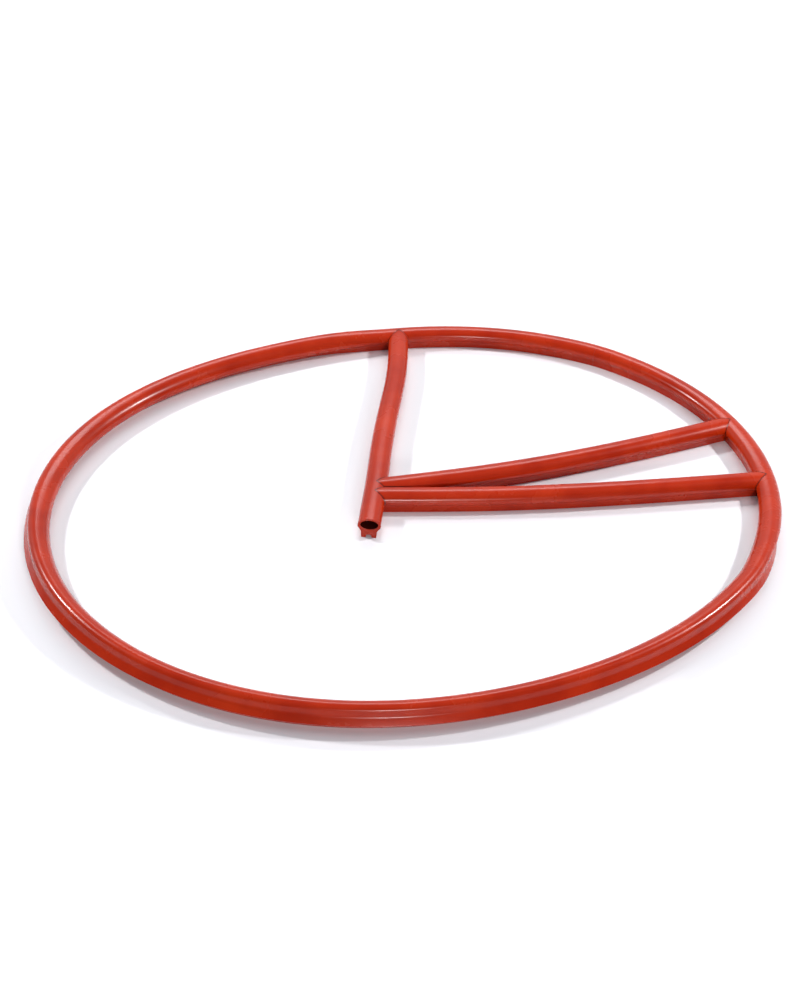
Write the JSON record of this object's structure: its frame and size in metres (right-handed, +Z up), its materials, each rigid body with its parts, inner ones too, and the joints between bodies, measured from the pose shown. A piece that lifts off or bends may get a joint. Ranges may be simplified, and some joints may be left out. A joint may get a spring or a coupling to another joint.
{
  "type": "silicone bulb seal",
  "caption": "Oval ring of hollow bulb seal cord on a slotted foot, with inner cords tee-jointed across it and bonded films at every joint.",
  "frame": {"origin": "plan centre of the oval ring, on the floor that the foot stands on", "axes": "+Z up from the floor, +X towards the side where the inner cords meet the ring, +Y along the rear cord towards the back of the ring"},
  "size_m": [1.3189, 1.1965, 0.0444],
  "materials": {
    "silicone_red": "gloss",
    "splice_red": "satin",
    "bond_red": "satin"
  },
  "bodies": {
    "root": {"ring_long_length": "silicone_red", "ring_short_length": "silicone_red", "rear_cord": "silicone_red", "upper_cord": "silicone_red", "lower_cord": "silicone_red", "upper_butt_splice": "splice_red", "side_butt_splice": "splice_red", "rear_tee_bond": "bond_red", "upper_tee_bond": "bond_red", "lower_tee_bond": "bond_red", "hub_upper_bond": "bond_red", "hub_lower_bond": "bond_red", "hub_web_bond": "bond_red"}
  },
  "joints": []
}
